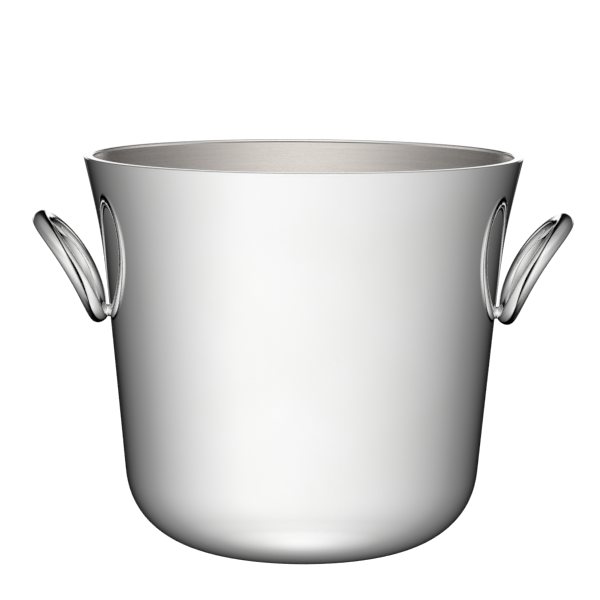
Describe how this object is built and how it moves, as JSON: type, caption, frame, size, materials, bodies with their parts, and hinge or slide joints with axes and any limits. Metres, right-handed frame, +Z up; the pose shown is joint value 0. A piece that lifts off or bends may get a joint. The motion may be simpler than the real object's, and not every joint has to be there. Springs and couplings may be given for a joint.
{
  "type": "champagne bucket",
  "caption": "Flared round champagne bucket with a double spun-metal wall, a flat lip and fixed ring handles that lean outwards from short necks.",
  "frame": {"origin": "centre of the base, on the surface that the bucket stands on", "axes": "+Z up along the vessel's axis, +X from the left handle towards the right handle"},
  "size_m": [0.2742, 0.22, 0.199],
  "materials": {
    "polished_silver_plate": "silver-plated brass, mirror-polished",
    "satin_silver_plate": "silver-plated brass, brushed round the axis to a satin",
    "bare_brass": "bare sheet brass, hidden inside the wall"
  },
  "bodies": {
    "root": {"outer_shell": "polished_silver_plate", "inner_liner": "satin_silver_plate", "rim_ring": "polished_silver_plate", "handle_ring_left": "polished_silver_plate", "handle_neck_left": "polished_silver_plate", "handle_backing_left": "bare_brass", "handle_ring_right": "polished_silver_plate", "handle_neck_right": "polished_silver_plate", "handle_backing_right": "bare_brass"}
  },
  "joints": []
}
